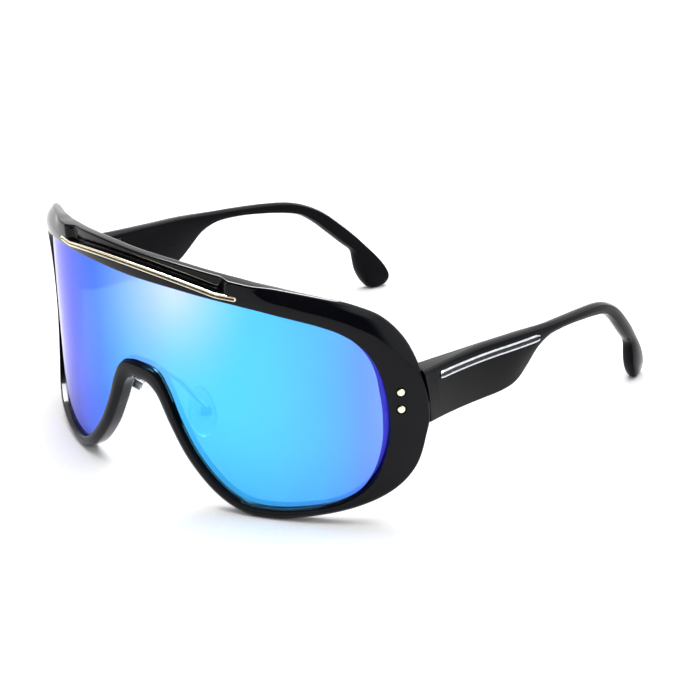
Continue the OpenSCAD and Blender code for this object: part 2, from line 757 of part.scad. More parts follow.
function pad_rows() = [for (s = pad_shares) [for (i = [0 : pad_sides - 1]) let (
      a = 360 * i / pad_sides, in = s[1] * pad_t)
    [-pad_out - s[0] * pad_t, (pad_w / 2 - in) * cos(a) * (1 - pad_taper * sin(a)),
     (pad_len / 2 - in) * sin(a)]]];

// Core moulded into the pad: a plate, and a tab that reaches out to the screw
module core_shape() {
  translate([-pad_out - core_in - core_t, -core_w / 2, -core_len / 2])
    cube([core_t, core_w, core_len]);
  translate([-pad_out - core_in, -tab_t / 2, -tab_r])
    cube([pad_out + core_in, tab_t, 2 * tab_r]);
}

module nose_pad() {
  at_pad() difference() {
    skin(pad_rows());
    core_shape();
  }
}

module nose_pad_left() {
  color(clear) nose_pad();
}

module nose_pad_right() {
  color(clear) right_side() nose_pad();
}

module pad_core() {
  at_pad() difference() {
    union() {
      core_shape();
      rotate([90, 0, 0]) cylinder(r = tab_r, h = tab_t, center = true);
    }
    rotate([90, 0, 0]) cylinder(r = pad_pin_r + pin_gap, h = box_w, center = true);
  }
}

module pad_core_left() {
  color(clear) pad_core();
}

module pad_core_right() {
  color(clear) right_side() pad_core();
}

front_frame();
shield_lens();
brow_trim();
lug_rivets_left();
lug_rivets_right();
front_hinge_left();
front_hinge_right();
hinge_screw_left();
hinge_screw_right();
pad_arm_left();
pad_arm_right();
pad_screw_left();
pad_screw_right();
temple_left();
temple_right();
temple_inlay_left();
temple_inlay_right();
temple_hinge_left();
temple_hinge_right();
leaf_screws_left();
leaf_screws_right();
nose_pad_left();
nose_pad_right();
pad_core_left();
pad_core_right();
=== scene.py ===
import bpy, bmesh, json
from math import sin, cos, atan2, pi, radians, hypot
from mathutils import Vector, Matrix

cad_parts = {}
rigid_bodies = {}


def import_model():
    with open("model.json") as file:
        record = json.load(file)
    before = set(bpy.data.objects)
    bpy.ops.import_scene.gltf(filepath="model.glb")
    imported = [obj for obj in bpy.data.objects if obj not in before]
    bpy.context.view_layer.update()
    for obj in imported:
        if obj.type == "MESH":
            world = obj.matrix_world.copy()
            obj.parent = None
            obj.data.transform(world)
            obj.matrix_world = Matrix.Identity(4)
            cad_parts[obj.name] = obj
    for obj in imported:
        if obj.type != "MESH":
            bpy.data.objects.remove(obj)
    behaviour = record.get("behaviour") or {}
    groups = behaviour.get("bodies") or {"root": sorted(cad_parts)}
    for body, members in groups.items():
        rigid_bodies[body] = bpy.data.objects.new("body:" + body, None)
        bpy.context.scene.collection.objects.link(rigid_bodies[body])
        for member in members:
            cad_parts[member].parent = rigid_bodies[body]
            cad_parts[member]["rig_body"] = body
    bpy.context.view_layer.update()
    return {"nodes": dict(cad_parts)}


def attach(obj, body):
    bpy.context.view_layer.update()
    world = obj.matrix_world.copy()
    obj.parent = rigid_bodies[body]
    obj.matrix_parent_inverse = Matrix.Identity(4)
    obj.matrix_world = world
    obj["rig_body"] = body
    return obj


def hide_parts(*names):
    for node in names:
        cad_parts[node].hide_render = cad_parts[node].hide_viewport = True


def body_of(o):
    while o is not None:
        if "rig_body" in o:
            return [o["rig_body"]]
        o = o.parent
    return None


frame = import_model()
print("frame loaded:", len(frame["nodes"]), "CAD nodes")

mm = 0.001  # sizes below are in millimetres, apart from those of the camera and the studio
scene = bpy.context.scene
scene.view_settings.view_transform = "Standard"  # keeps the white studio white

# Camera: the photograph's three-quarter view, from above the wearer's left. Angles in degrees
shot = {"turn": 42.408, "height": 23.301, "lens": 144.44, "sensor": 36,
        "place": (0.49187, -0.5315, 0.32832)}


def addCamera(shot):
    turn, height = radians(shot["turn"]), radians(shot["height"])
    right = Vector((cos(turn), sin(turn), 0))
    back = Vector((sin(turn) * cos(height), -cos(turn) * cos(height), sin(height)))
    data = bpy.data.cameras.new("camera")
    data.sensor_width, data.lens = shot["sensor"], shot["lens"]
    data.clip_start, data.clip_end = 0.05, 20
    camera = bpy.data.objects.new("camera", data)
    axes = Matrix((right, back.cross(right), back)).transposed().to_4x4()
    camera.matrix_world = Matrix.Translation(shot["place"]) @ axes
    scene.collection.objects.link(camera)
    scene.camera = camera


addCamera(shot)
print("camera placed")


# Materials
def colour(hexText):  # sRGB hex to the linear colour that Blender works in
    parts = [int(hexText[i:i + 2], 16) / 255 for i in (1, 3, 5)]
    return [p / 12.92 if p <= 0.04045 else ((p + 0.055) / 1.055) ** 2.4 for p in parts] + [1]


# links: input name to value or output socket; stops: place and hex colour, for a colour ramp
def addNode(material, kind, links=None, stops=None, **settings):
    tree = material.node_tree
    node = tree.nodes.new(kind)
    for name, value in settings.items():
        setattr(node, name, value)
    for name, value in (links or {}).items():
        if isinstance(value, bpy.types.NodeSocket):
            tree.links.new(value, node.inputs[name])
        else:
            node.inputs[name].default_value = value
    if stops:
        ramp = node.color_ramp.elements
        for element, (place, hexText) in zip(ramp, (stops[0], stops[-1])):
            element.position, element.color = place, colour(hexText)
        for place, hexText in stops[1:-1]:
            ramp.new(place).color = colour(hexText)
    return node


def newMaterial(name, **sockets):
    material = bpy.data.materials.new(name)
    material.use_nodes = True
    shader = material.node_tree.nodes["Principled BSDF"]
    for socket, value in sockets.items():
        shader.inputs[socket.replace("_", " ")].default_value = value
    return material, shader


def link(material, output, target):
    material.node_tree.links.new(output, target)


def tintBy(material, shader, pattern, stops):
    tint = addNode(material, "ShaderNodeValToRGB", {"Fac": pattern}, stops)
    link(material, tint.outputs["Color"], shader.inputs["Base Color"])


def roughenBy(material, shader, pattern, smooth, dull, start=0, end=1):
    rough = addNode(material, "ShaderNodeMapRange", {
        "Value": pattern, "From Min": start, "From Max": end, "To Min": smooth, "To Max": dull})
    link(material, rough.outputs["Result"], shader.inputs["Roughness"])


# Cellulose acetate, injection-moulded front and milled temples, tumbled and buffed:
# deep black with a wet gloss, a faint waviness from the buffing wheel and hairline rub marks.
# The waves are 11 mm apart; the rub marks are drawn 0.7 mm apart, coarser than real, to show
def makeAcetate(name, base, gloss, level):
    material, shader = newMaterial(name, IOR=1.5, Specular_IOR_Level=level)
    place = addNode(material, "ShaderNodeTexCoord").outputs["Object"]
    wave = addNode(material, "ShaderNodeTexNoise", {"Vector": place, "Scale": 90, "Detail": 1.5})
    rub = addNode(material, "ShaderNodeTexNoise", {"Vector": place, "Scale": 1400, "Detail": 3})
    tintBy(material, shader, wave.outputs["Fac"], [(0.35, base), (0.75, "#0a0a0d")])
    roughenBy(material, shader, rub.outputs["Fac"], gloss, gloss + 0.06, 0.3, 0.8)
    bump = addNode(material, "ShaderNodeBump", {
        "Height": wave.outputs["Fac"], "Strength": 0.02, "Distance": 0.6 * mm})
    link(material, bump.outputs["Normal"], shader.inputs["Normal"])
    return material


# Polycarbonate with a vacuum-coated titanium dioxide mirror: sky blue in the middle, running
# to violet at the wrapped ends, its colour shift with viewing angle painted in by place as
# reflection colour. 4 mm patches of softer gloss; part metal and part clear, so the pads show
# dimly through it
def makeMirror(name, stops):
    material, shader = newMaterial(
        name, Metallic=0.78, IOR=1.59, Transmission_Weight=1, Coat_Weight=0.2, Coat_Roughness=0.2,
        Specular_Tint=colour("#aeaae7"))
    place = addNode(material, "ShaderNodeTexCoord").outputs["Object"]
    axes = addNode(material, "ShaderNodeSeparateXYZ", {"Vector": place})
    along = addNode(material, "ShaderNodeMapRange", {
        "Value": axes.outputs["X"], "From Min": -62 * mm, "From Max": 62 * mm})
    tintBy(material, shader, along.outputs["Result"], stops)
    spots = addNode(material, "ShaderNodeTexNoise", {"Vector": place, "Scale": 260, "Detail": 2})
    roughenBy(material, shader, spots.outputs["Fac"], 0.05, 0.09)
    return material


# The body of the same lens behind its coat: smoke-tinted clear polycarbonate, moulded, with
# flow marks about 8 mm apart that only just vary its tint
def makeSmoke(name):
    material, shader = newMaterial(name, IOR=1.59, Transmission_Weight=1)
    place = addNode(material, "ShaderNodeTexCoord").outputs["Object"]
    flow = addNode(material, "ShaderNodeTexNoise", {"Vector": place, "Scale": 120, "Detail": 1})
    tintBy(material, shader, flow.outputs["Fac"], [(0.3, "#c9cdd6"), (0.7, "#d3d7de")])
    roughenBy(material, shader, flow.outputs["Fac"], 0.02, 0.05)
    return material


# Brass, stamped and gold-plated: pale warm gold with a soft drawn grain along the strip,
# 1.1 mm wide and 17 mm long, coarser than the real grain so that it shows
def makeGold(name):
    material, shader = newMaterial(name, Metallic=1)
    place = addNode(material, "ShaderNodeTexCoord").outputs["Object"]
    drawn = addNode(material, "ShaderNodeMapping", {"Vector": place, "Scale": (60, 900, 900)})
    grain = addNode(material, "ShaderNodeTexNoise", {
        "Vector": drawn.outputs["Vector"], "Scale": 1, "Detail": 2})
    tintBy(material, shader, grain.outputs["Fac"], [(0.3, "#f0e4c0"), (0.7, "#fbf4dc")])
    roughenBy(material, shader, grain.outputs["Fac"], 0.16, 0.3)
    return material


# Stainless steel, turned and blanked, left with its satin machining marks, 0.25 mm apart; in
# other tones and glosses the chromed and nickel silver fittings, and near-black steel as painted
# shade
def makeSteel(name, tone="#c2c4c8", gloss=0.22, light="#dadce0"):
    material, shader = newMaterial(name, Metallic=1)
    place = addNode(material, "ShaderNodeTexCoord").outputs["Object"]
    turned = addNode(material, "ShaderNodeMapping", {"Vector": place, "Scale": (500, 500, 4000)})
    marks = addNode(material, "ShaderNodeTexNoise", {
        "Vector": turned.outputs["Vector"], "Scale": 1, "Detail": 2})
    tintBy(material, shader, marks.outputs["Fac"], [(0.3, tone), (0.7, light)])
    roughenBy(material, shader, marks.outputs["Fac"], gloss, gloss + 0.14)
    return material


# The nose pads: silicone rubber round a polycarbonate core, cast in a polished mould. Water
# clear and soft, a little cloudy in its depth, in clouds of 1.4 mm. Its IOR is under the real
# 1.41, because the pads in the photograph hardly darken what is behind them
def makeClearPad(name):
    material, shader = newMaterial(name, IOR=1.33, Transmission_Weight=0.88)
    place = addNode(material, "ShaderNodeTexCoord").outputs["Object"]
    cloud = addNode(material, "ShaderNodeTexNoise", {"Vector": place, "Scale": 700, "Detail": 2})
    tintBy(material, shader, cloud.outputs["Fac"], [(0.3, "#eef2f4"), (0.7, "#fafcfc")])
    roughenBy(material, shader, cloud.outputs["Fac"], 0.12, 0.3)
    return material


acetate = makeAcetate("polishedAcetate", "#05060b", 0.05, 0.15)
templeAcetate = makeAcetate("tumbledAcetate", "#05060a", 0.09, 0.045)
# The ramp runs one way across the lens, from pale lavender at the left tip to blue-violet at the
# right. The blue is the coat's own; its run and the light left tip are painted reflection colour
mirrorCoat = makeMirror("mirrorCoatedPolycarbonate", [
    (0, "#a89ce6"), (0.12, "#8a86e2"), (0.22, "#5c74e8"), (0.29, "#4c76f0"), (0.36, "#3a78f4"),
    (0.48, "#38a0fa"), (0.6, "#37b9fd"), (0.74, "#3ab8fd"), (0.82, "#3fb2fd"), (0.89, "#41a4fc"),
    (0.93, "#4898fb"), (0.96, "#5288fa"), (1, "#688af8")])
# The ground rim's deeper, darker blue is painted reflection: it stands in for the black rim wall
# that the lens's edge mirrors
paintedDarkEdgeCoat = makeMirror("groundEdgeCoatPaintedDark", [
    (0, "#5a52d0"), (0.2, "#2c3cb0"), (0.45, "#1c6c9c"), (0.8, "#1c6ca8"), (0.93, "#141c96"),
    (1, "#1c1ca8")])
# Near-black matte steel on the rivets' seat rings: painted shadow of the gap round each head
rivetShadowBlack = makeSteel("rivetRingPaintedShadow", "#050505", 0.6, "#0a0a0a")
smokeLens = makeSmoke("smokePolycarbonate")
goldPlate = makeGold("goldPlatedBrass")
steel = makeSteel("satinStainlessSteel")
chrome = makeSteel("chromedBrass", "#aeb2ba", 0.08)
# Dark steel for the hinges and their screws: painted shade, so that where they show in the gap by
# the lug and inside the far temple they read as that dark gap
hingeSteelPaintedDark = makeSteel("hingeSteelDarkAsShade", "#202226", 0.3, "#34363a")
padWire = makeSteel("nickelSilverWire", "#84868a", 0.25, "#9a9ca0")
silicone = makeClearPad("clearSilicone")
corePlate = makeClearPad("clearPolycarbonateCore")
print("materials made")


# How the front wraps: a cylinder of this radius, leaning forward, its middle out at the front
wrap = {"radius": 82.7, "lean": 3, "centre": 72.1914, "drop": 0.4344}


def onFront(along, up, out):  # mm along the wrap, up it and out from the lens's face
    turn, lean, reach = along / wrap["radius"], radians(wrap["lean"]), wrap["radius"] + out
    y = wrap["radius"] - reach * cos(turn)
    return Vector((reach * sin(turn), y * cos(lean) - up * sin(lean) - wrap["centre"],
                   up * cos(lean) + y * sin(lean) - wrap["drop"])) * mm


def fromFront(point):  # the same three measures of a place
    x, y, z = point / mm + Vector((0, wrap["centre"], wrap["drop"]))
    lean = radians(wrap["lean"])
    y, z = y * cos(lean) + z * sin(lean), z * cos(lean) - y * sin(lean)
    behind = wrap["radius"] - y
    return wrap["radius"] * atan2(x, behind), z, hypot(x, behind) - wrap["radius"]


def outward(point):
    along, up, out = fromFront(point)
    return (onFront(along, up, out + 1) - onFront(along, up, out)).normalized()


def eased(part):  # from 0 to 1 with a soft start and end
    part = min(max(part, 0), 1)
    return part * part * (3 - 2 * part)


# A piece that rides on a body in place of these nodes: smooth where it curves, crisp at its
# edges. Where there is more than one material, where gives each face the number of its own
def newPiece(name, bm, materials, body, nodes, sharp=34, where=None):
    bmesh.ops.remove_doubles(bm, verts=bm.verts, dist=0.001 * mm)
    bmesh.ops.recalc_face_normals(bm, faces=bm.faces)
    for face in bm.faces:
        face.smooth = True
        face.material_index = int(where(face)) if where else 0
    for edge in bm.edges:
        edge.smooth = edge.is_manifold and edge.calc_face_angle(0) < radians(sharp)
    mesh = bpy.data.meshes.new(name)
    bm.to_mesh(mesh)
    bm.free()
    for material in materials:
        mesh.materials.append(material)
    piece = bpy.data.objects.new(name, mesh)
    scene.collection.objects.link(piece)
    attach(piece, body)
    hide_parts(*nodes)
    return piece


# A dressed copy of a CAD node, its loose triangles welded
def dress(node, slotName, materials, where=None):
    source = frame["nodes"][node]
    bm = bmesh.new()
    bm.from_mesh(source.data)
    bmesh.ops.remove_doubles(bm, verts=bm.verts, dist=0.002 * mm)
    bmesh.ops.dissolve_limit(bm, angle_limit=radians(0.3), verts=bm.verts, edges=bm.edges)
    name = node.replace("_", " ").title().replace(" ", "")
    return newPiece(name, bm, materials, body_of(source)[0], [node], where=where)


# A skin over rows of points, each row a ring, from a grid with one line of it to each row
def skinned(rows, capped=False):
    bm = bmesh.new()
    count, points = len(rows), len(rows[0])
    bmesh.ops.create_grid(bm, x_segments=count - 1, y_segments=points, size=0.5)
    for vert in bm.verts:
        row = rows[round((vert.co.x + 0.5) * (count - 1))]
        vert.co = row[round((vert.co.y + 0.5) * points) % points]
    bmesh.ops.remove_doubles(bm, verts=bm.verts, dist=0.0005 * mm)
    if capped:
        bmesh.ops.holes_fill(bm, edges=[e for e in bm.edges if e.is_boundary], sides=0)
    return bm


# Smooth loop through half an outline and its mirror image, with this many steps a point
def smoothLoop(half, steps):
    points = half + [[-p[0]] + list(p[1:]) for p in half[-2:0:-1]]
    loop = []
    for i in range(len(points)):
        near = [points[(i + k) % len(points)] for k in (-1, 0, 1, 2)]
        for j in range(steps):
            t = j / steps
            loop.append([(2 * b + (c - a) * t + (2 * a - 5 * b + 4 * c - d) * t * t
                          + (3 * b - a - 3 * c + d) * t ** 3) / 2 for a, b, c, d in zip(*near)])
    return loop


# The front and the lens. Outline points are shares of the half width and the height; the
# front's go on with how far its back edge draws in and how far its face domes away
shield = {
    # lens: half its length round the wrap, height, thickness, play in its rebate, columns
    "lensHalf": 70, "lensTall": 59.2, "lensThick": 2, "play": 0.05, "columns": 110, "rises": 8,
    # its ground rim: width, width at the two ends, how far it drops, and where it widens
    "bevel": 0.3, "bevelEnd": 1.7, "bevelDrop": 0.14,
    "widensFrom": 0.8, "widensBelow": 54, "widensOver": 16,
    # rim: width past the lens at side, brow and foot, height over the lens, depth behind it
    "side": 10.3, "brow": 6.5, "foot": 2.9, "proud": 1.3, "back": 3.4,
    # its section: ledge behind the lens, lip over it, the face's crown, hump and dome, draft
    "ledge": 0.6, "chamfer": 0.15, "lip": 0.4, "crown": 0.2, "hump": 0.32, "dome": 2.2,
    "draft": 1.6,
    # its corners: their size, at most the width over narrow, and the outer ones' shares of it
    "soft": 1, "narrow": 2.4, "crest": 0.65, "heel": 0.8,
    # the recess over the trim: half its length, depth under the lens's face, corner, end ramps
    "recessHalf": 27.5, "recessBack": 0.4, "recessSoft": 0.5, "recessEnd": 1.7,
    # it is on the brow, starts under the trim's edge, and keeps clear of the section's corners
    "browFrom": 40, "recessTuck": 0.3, "recessClear": (0.45, 0.5), "rampReach": 2.5,
    "rampRows": 4,
    # its wall: steps up from the cut, and how much of the full depth each has
    "wallLead": 0.3,
    "wall": [(-0.2, 0), (-0.1, 0.02), (-0.02, 0.1), (0.05, 0.5), (0.12, 0.88), (0.22, 0.97),
             (0.36, 1)],
    "steps": 10,  # between two points of an outline
    "lens": [[0, 1], [0.2, 0.997], [0.4, 0.977], [0.49, 0.963], [0.578, 0.945], [0.743, 0.9],
             [0.843, 0.852], [0.914, 0.782], [0.963, 0.684], [0.99, 0.566], [1, 0.453],
             [0.993, 0.33], [0.957, 0.2], [0.897, 0.107], [0.8, 0.044], [0.657, 0.01], [0.533, 0],
             [0.436, 0.017], [0.346, 0.081], [0.251, 0.204], [0.184, 0.34], [0.134, 0.475],
             [0.084, 0.556], [0, 0.573]],
    "front": [[0, 1, 0.2, 0], [0.181, 0.996, 0.2, 0], [0.367, 0.974, 0.2, 0],
              [0.452, 0.961, 0.3, 0.06], [0.536, 0.947, 0.4, 0.5], [0.69, 0.91, 0.5, 0.8],
              [0.781, 0.876, 0.8, 0.95], [0.866, 0.823, 0.9, 1], [0.94, 0.718, 0.8, 1],
              [0.984, 0.58, 0, 0.2], [1, 0.435, 0, 0.15], [0.99, 0.353, 0, 0.15],
              [0.955, 0.223, 0, 0.2], [0.879, 0.128, 0, 0.2], [0.757, 0.061, 0, 0.2],
              [0.597, 0.017, 0, 0.15], [0.473, 0, 0, 0.15], [0.377, 0.013, 0, 0.15],
              [0.28, 0.077, 0, 0.15], [0.186, 0.194, 0, 0.15], [0.122, 0.32, 0, 0.15],
              [0.078, 0.424, 0, 0.15], [0.04, 0.465, 0, 0.15], [0, 0.472, 0, 0.15]],
}
# The trim: one round wire bent into a long loop like a hairpin, over a dark backing strip
trim = {
    # half its length, half its arched middle and that one's sag, how fast the tails fall
    "half": 32.6, "arch": 26.8, "sag": 3.2, "fall": 0.06,
    # height of its middle over the lens's top, its own height, its face over the lens's face
    "rise": 3.7, "tall": 1.4, "face": 1.95,
    "wire": 0.27, "sides": 12, "steps": 80, "turns": 8,
    # the strip: short of the ends, inside the wires, its foot, and its face in wires behind
    "webColumns": 60, "webShort": 0.15, "webIn": 0.12, "webFoot": 0.45, "webDrop": 1.4,
}


def trimHeight(along):  # the trim's arch, then its flatter tails
    part = min(abs(along) / trim["arch"], 1)
    tail = max(abs(along) - trim["arch"], 0)
    return (shield["foot"] + shield["lensTall"] + trim["rise"] - trim["sag"] * part * part
            - tail * trim["fall"])


def lensEdge(shield):
    return smoothLoop([[a * shield["lensHalf"], shield["foot"] + b * shield["lensTall"]]
                       for a, b in shield["lens"]], shield["steps"])


def frontEdge(shield):
    half = shield["lensHalf"] + shield["side"]
    tall = shield["foot"] + shield["lensTall"] + shield["brow"]
    return smoothLoop([[a * half, b * tall, c * shield["draft"], d * shield["dome"]]
                       for a, b, c, d in shield["front"]], shield["steps"])


def rounded(corner, before, after, radius, steps=4):  # a corner of a section as a short curve
    corner, before, after = Vector(corner), Vector(before), Vector(after)
    a = corner + (before - corner).normalized() * radius
    b = corner + (after - corner).normalized() * radius
    return [a.lerp(corner, t).lerp(corner.lerp(b, t), t)
            for t in (k / steps for k in range(steps + 1))]


# The rim's cross-section: distance out from the lens, height over the lens's face. The brow's
# recess starts at the cut; hollow goes from 0 where there is none to 1 at its full depth
def rimSection(shield, width, draft, dome, cut, hollow):
    proud, back, seat = shield["proud"], shield["back"], -shield["lensThick"] - shield["play"]
    ledge, chamfer, floor = shield["ledge"], shield["chamfer"], -shield["recessBack"]
    soft = min(shield["soft"], width / shield["narrow"])
    low = min(dome, proud + back - 2 * soft - shield["lip"])
    hump, crest, foot = width * shield["hump"], soft * shield["crest"], width - draft
    run = width - crest - hump

    def face(x):  # how high the crowned and domed face stands this far out
        t = max(0, (x - hump) / run)
        return proud + shield["crown"] * (1 - t ** 3) - low * t * t

    def recessed(x, deep):
        return Vector((x, face(x) - hollow * deep * (face(x) - floor)))

    ring = [Vector((-ledge, -back)), Vector((-ledge, seat - chamfer)),
            Vector((-ledge + chamfer, seat)), Vector((0, seat))]
    ring += rounded((0, proud), (0, seat), (hump, proud + shield["crown"]), shield["lip"])
    # the outer corner's point lies where the dome would run on to
    last, fall = width - crest * 1.05, proud - low - crest * 2 * low / run
    cut = min(max(cut, hump + shield["recessClear"][0]), last - shield["recessClear"][1])
    lead = cut - shield["wallLead"]
    ring += [Vector((x, face(x))) for x in (hump, (hump + lead) / 2, lead)]
    ring += [recessed(cut + step, deep) for step, deep in shield["wall"]]
    start = cut + shield["wall"][-1][0]
    ring += [recessed(start + (last - start) * k / 6, 1) for k in range(1, 7)]
    full = rounded((width, fall), ring[-1], (width, -back), crest, 6)
    letIn = rounded((width, floor), (0, floor), (width, -back), shield["recessSoft"], 6)
    ring += [a.lerp(b, hollow) for a, b in zip(full, letIn)]
    return ring + rounded((foot, -back), (width, fall - crest), (0, -back),
                          soft * shield["heel"], 5)


# The front: the section carried round the lens, with closer rows at the recess's end ramps
def makeFront(shield):
    rows = []
    inner, outer = lensEdge(shield), frontEdge(shield)
    for i in range(len(inner)):
        j = (i + 1) % len(inner)
        onBrow = inner[i][1] > shield["browFrom"]
        ramp = onBrow and abs(abs(inner[i][0]) - shield["recessHalf"]) < shield["rampReach"]
        for k in range(shield["rampRows"] if ramp else 1):
            t = k / shield["rampRows"]
            x, y = (a + (b - a) * t for a, b in zip(inner[i], inner[j]))
            farX, farY, draft, dome = (a + (b - a) * t for a, b in zip(outer[i], outer[j]))
            width = hypot(farX - x, farY - y)
            way = Vector(((farX - x) / width, (farY - y) / width))
            cut = trimHeight(x) + trim["tall"] / 2 - shield["recessTuck"] - y
            end = shield["recessEnd"]
            hollow = eased((shield["recessHalf"] + end - abs(x)) / (2 * end)) if onBrow else 0
            rows.append([onFront(x + way.x * q.x, y + way.y * q.x, q.y)
                         for q in rimSection(shield, width, draft, dome, cut, hollow)])
    return skinned(rows + rows[:1])


def heightAt(edge, along):  # height of an outline's point this far along
    for a, b in zip(edge, edge[1:]):
        if a[0] <= along <= b[0] or b[0] <= along <= a[0]:
            return a[1] + (b[1] - a[1]) * (along - a[0]) / ((b[0] - a[0]) or 1)
    return edge[-1][1]


# The lens in columns from its lower edge to its upper one, each a bevelled section
def makeLens(shield):
    inner, outer = lensEdge(shield), frontEdge(shield)
    shares, half, columns = shield["lens"], shield["lensHalf"], shield["columns"]
    drop, thick, rises = -shield["bevelDrop"], -shield["lensThick"], shield["rises"]
    tip = max(range(len(shares)), key=lambda i: shares[i][0]) * shield["steps"]
    middle = (len(shares) - 1) * shield["steps"] + 1

    def drawnIn(gap, more=0):  # the outline this far in, and more at its two lower ends
        points = []
        for (x, y), (farX, farY, _, _) in zip(inner, outer):
            ends = max(0, (abs(x) / half - shield["widensFrom"]) / (1 - shield["widensFrom"]))
            lower = min(1, max(0, (shield["widensBelow"] - y) / shield["widensOver"]))
            part = (gap + more * ends ** 1.5 * lower) / hypot(farX - x, farY - y)
            points.append([x - (farX - x) * part, y - (farY - y) * part])
        return points[:tip + 1], points[tip:middle]

    edgeTop, edgeFoot = drawnIn(shield["play"])
    flatTop, flatFoot = drawnIn(shield["play"] + shield["bevel"],
                                shield["bevelEnd"] - shield["bevel"])
    rows = []
    for i in range(-columns, columns + 1):
        part = sin(radians(89) * i / columns)  # 89 degrees stop just short of the tip
        side = -1 if part < 0 else 1
        edgeAt, flatAt = abs(part) * edgeTop[-1][0], abs(part) * flatTop[-1][0]
        foot, top = heightAt(flatFoot, flatAt), heightAt(flatTop, flatAt)
        low, high = heightAt(edgeFoot, edgeAt), heightAt(edgeTop, edgeAt)
        section = [(edgeAt, low, drop)]
        section += [(flatAt, foot + (top - foot) * k / rises, 0) for k in range(rises + 1)]
        section += [(edgeAt, high, drop), (edgeAt, high, thick), (edgeAt, low, thick)]
        rows.append([onFront(side * a, b, c) for a, b, c in section])
    tips = []  # the ground rim round the lens's two ends
    for side, row in ((-1, rows[0]), (1, rows[-1])):
        places = [fromFront(p)[1:] for p in row]
        tips.append([onFront(side * edgeTop[-1][0], b, min(c, drop)) for b, c in places])
    return skinned(tips[:1] + rows + tips[1:], True)


# the ground rim's faces get the darker coat, a painted reflection of the black rim
def lensPart(face):  # 0 the mirror's face, 1 the back and edge it doesn't cover, 2 its ground rim
    lean = face.normal.dot(outward(face.calc_center_median()))
    return 1 if lean < 0.5 else 0 if lean > 0.9995 else 2


def makeTrim(trim):
    reach, half = trim["half"] - trim["tall"] / 2, trim["tall"] / 2 - trim["wire"]
    run = [reach * sin(pi * (2 * i / trim["steps"] - 1) / 2) for i in range(trim["steps"])]
    turn = [pi * k / trim["turns"] for k in range(trim["turns"] + 1)]
    # out along the top, round the end, back along the foot, round again
    loop = [(along, half) for along in run]
    loop += [(reach + half * sin(a), half * cos(a)) for a in turn]
    loop += [(-along, -half) for along in run[1:]]
    loop += [(-reach - half * sin(a), -half * cos(a)) for a in turn[:-1]]

    def onTrim(along, up, out):
        return onFront(along, trimHeight(along) + up, out)

    rows = []
    for i, place in enumerate(loop):
        ahead, behind = loop[(i + 1) % len(loop)], loop[i - 1]
        centre = onTrim(*place, trim["face"] - trim["wire"])
        out = outward(centre)
        across = (onTrim(*ahead, 0) - onTrim(*behind, 0)).normalized().cross(out)
        wire = trim["wire"] * mm
        rows.append([centre + across * cos(a) * wire + out * sin(a) * wire
                     for a in (2 * pi * k / trim["sides"] for k in range(trim["sides"]))])
    return skinned(rows + rows[:1])


# Its backing: the strip between the wires, in the front's polished black, down to the foot of its
# seat
def makeTrimWeb(trim):
    rows = []
    columns, foot = trim["webColumns"], trim["webFoot"]
    top = trim["face"] - trim["webDrop"] * trim["wire"]
    for i in range(-columns, columns + 1):
        along = (trim["half"] - trim["webShort"]) * sin(radians(90) * i / columns)
        rest = (trim["half"] - abs(along)) / trim["tall"] * 2 + 0.02  # its ends are rounded
        half = (trim["tall"] / 2 - trim["webIn"]) * min(1, rest) ** 0.5
        middle = trimHeight(along)
        rows.append([onFront(along, middle + a, b)
                     for a, b in ((-half, foot), (half, foot), (half, top), (-half, top))])
    return skinned(rows, True)


# The lug rivets' heads: a low dome in a near-black seat ring, its painted shadow, turned from
# one profile, whose crown is in shares of the radius and of the dome. They stand on the lug's
# face
rivet = {"along": 72.9, "height": 34.5, "pitch": 4.8, "radius": 0.95, "dome": 0.16, "stand": 1.58,
         "seat": 1.36, "seatGap": 0.03, "seatSink": 0.02, "deep": 0.4,
         "crown": [(0, 1), (0.45, 0.97), (0.8, 0.85), (0.94, 0.6), (1, 0)]}


def makeRivetHeads(rivet, side):
    bm = bmesh.new()
    radius, seat, sink = rivet["radius"], rivet["seat"], -rivet["seatSink"]
    profile = [(radius * a, rivet["dome"] * b) for a, b in rivet["crown"]]
    profile += [(radius + rivet["seatGap"], sink), (seat, sink * 1.5), (seat, -rivet["deep"])]
    for end in (-0.5, 0.5):
        foot = onFront(side * rivet["along"], rivet["height"] + end * rivet["pitch"],
                       rivet["stand"])
        out = outward(foot)
        across = Vector((out.y, -out.x, 0)).normalized()
        line = [bm.verts.new(foot + across * a * mm + out * b * mm) for a, b in profile]
        edges = [bm.edges.new(pair) for pair in zip(line, line[1:])]
        bmesh.ops.spin(bm, geom=line + edges, cent=foot, axis=out, angle=2 * pi, steps=32,
                       use_merge=True, use_duplicate=False)
    return bm


# The seat ring's flat faces, which get the near-black steel: painted shadow of the gap round each
# head
def shadowRingFaces(face):
    centre = face.calc_center_median()
    flat = face.normal.dot(outward(centre)) > 0.98
    return flat and fromFront(centre)[2] < rivet["stand"] - 0.005


newPiece("FrontFrame", makeFront(shield), [acetate], "front", ["front_frame"])
lens = newPiece("ShieldLens", makeLens(shield), [mirrorCoat, smokeLens, paintedDarkEdgeCoat], "front",
                ["shield_lens"], sharp=8, where=lensPart)
newPiece("BrowTrim", makeTrim(trim), [goldPlate], "front", ["brow_trim"])
newPiece("BrowTrimWeb", makeTrimWeb(trim), [acetate], "front", ["brow_trim"])
for name, side in (("left", 1), ("right", -1)):
    newPiece("RivetHeads" + name.title(), makeRivetHeads(rivet, side), [goldPlate, rivetShadowBlack],
             "front", ["lug_rivets_" + name], sharp=40, where=shadowRingFaces)
print("front, lens, trim and rivets built")

# The temples' inlays: height of their middle at the front end, and its gentle fall to the tip
inlay = {"middle": 39.75, "fall": 3.88, "start": -33.3, "length": 43.5, "channel": 0.3}


def inlayChannel(face):  # the channel's floor lies under the two rails
    x, y, z = face.calc_center_median() / mm
    middle = inlay["middle"] - inlay["fall"] * (y - inlay["start"]) / inlay["length"]
    return abs(face.normal.x) > 0.9 and abs(z - middle) < inlay["channel"]


